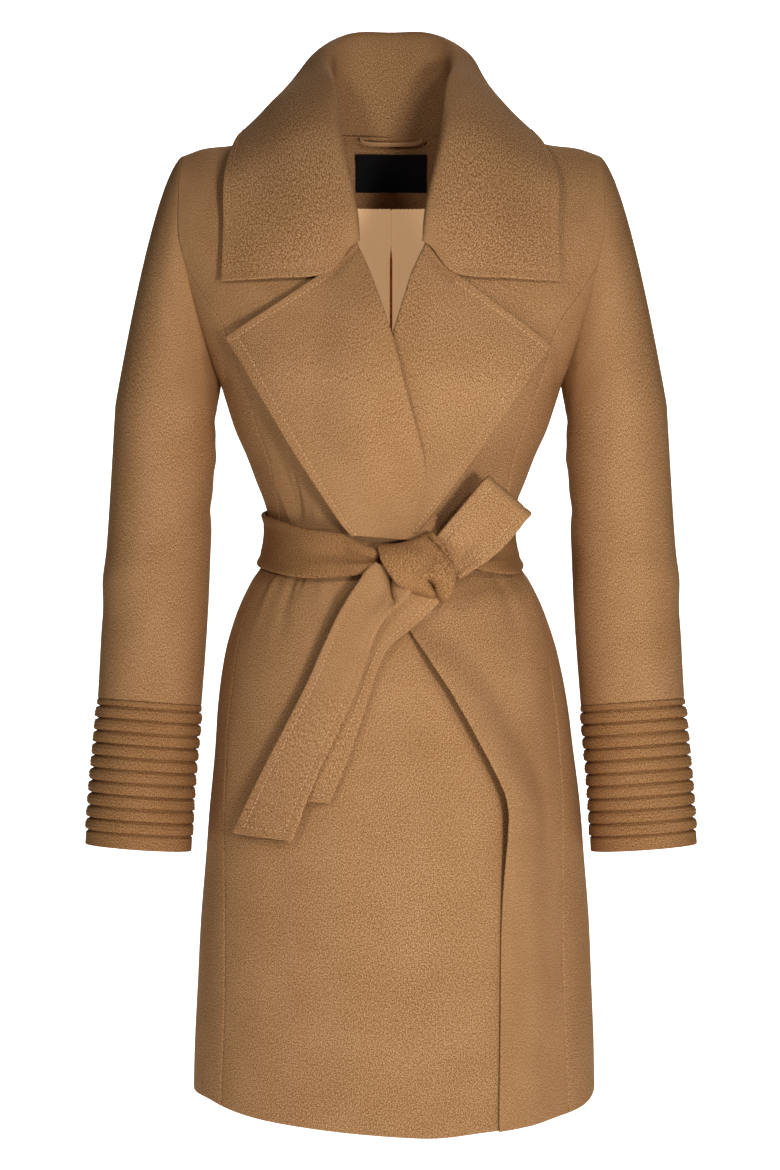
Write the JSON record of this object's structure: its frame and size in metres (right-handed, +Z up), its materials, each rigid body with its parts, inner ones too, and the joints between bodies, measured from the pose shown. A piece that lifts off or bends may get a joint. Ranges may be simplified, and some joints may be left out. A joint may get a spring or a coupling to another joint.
{
  "type": "wool wrap coat",
  "caption": "Knee-length belted wrap coat in brushed wool with a wide notched collar, crossed fronts, ribbed cuffs and a tied belt, in its hollow worn form.",
  "frame": {"origin": "middle of the neck level with the shoulder line, where the coat is held up", "axes": "+Z up along the coat, -Y the front, -X the wearer's right"},
  "size_m": [0.5778, 0.2999, 1.0157],
  "materials": {
    "wool": "brushed wool coating cloth, camel brown, matt nap",
    "belt_wool": "the same brushed wool, folded and top-stitched",
    "lining": "smooth satin lining, light camel",
    "label": "plain black woven label, blank"
  },
  "bodies": {
    "root": {"right_front": "wool", "left_front": "wool", "right_side_front": "wool", "left_side_front": "wool", "right_back": "wool", "left_back": "wool", "right_sleeve": "wool", "left_sleeve": "wool", "right_ribbed_cuff": "wool", "left_ribbed_cuff": "wool", "right_lapel": "wool", "left_lapel": "wool", "collar": "wool", "back_neck_facing": "wool", "belt_right_stretch": "belt_wool", "belt_left_stretch": "belt_wool", "belt_front_tail": "belt_wool", "belt_rear_tail": "belt_wool", "belt_bow_loop": "belt_wool", "belt_knot": "belt_wool", "right_back_lining": "lining", "left_back_lining": "lining", "hanger_loop": "lining", "neck_label": "label"}
  },
  "joints": []
}
